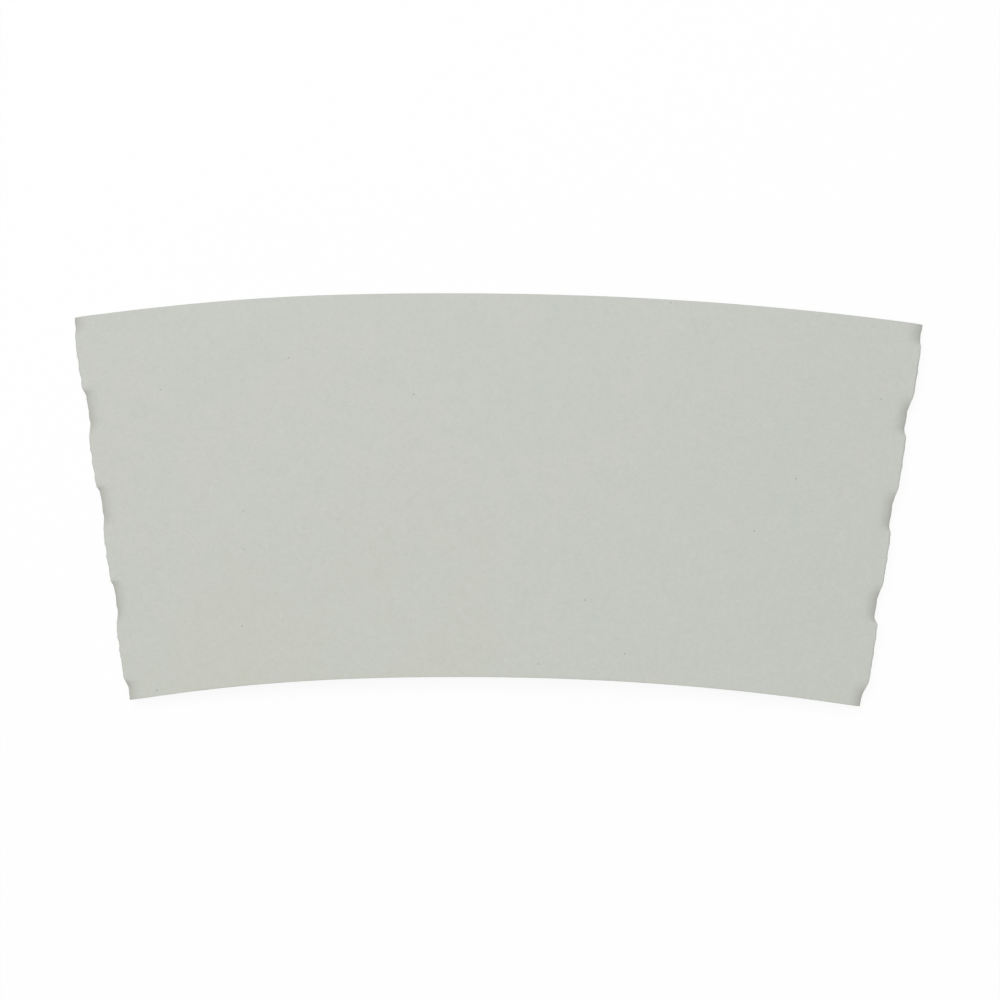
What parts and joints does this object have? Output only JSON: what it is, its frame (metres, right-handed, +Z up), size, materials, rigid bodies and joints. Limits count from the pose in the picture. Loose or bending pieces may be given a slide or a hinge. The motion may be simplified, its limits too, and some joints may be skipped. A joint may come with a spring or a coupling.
{
  "type": "coffee cup sleeve",
  "caption": "Plain paperboard sleeve for a takeaway coffee cup, folded flat along perforated creases with a glued lap at the back.",
  "frame": {"origin": "middle of the underside's bounding rectangle, where the flat-packed sleeve lies on a surface", "axes": "+X along the long way, to the picture's right; +Y towards the wide rim; +Z up, out of the plain front panel"},
  "size_m": [0.1332, 0.0642, 0.0078],
  "materials": {
    "board": "uncoated matt paperboard, pale grey-green white"
  },
  "bodies": {
    "root": {"cup_sleeve": "board"}
  },
  "joints": []
}
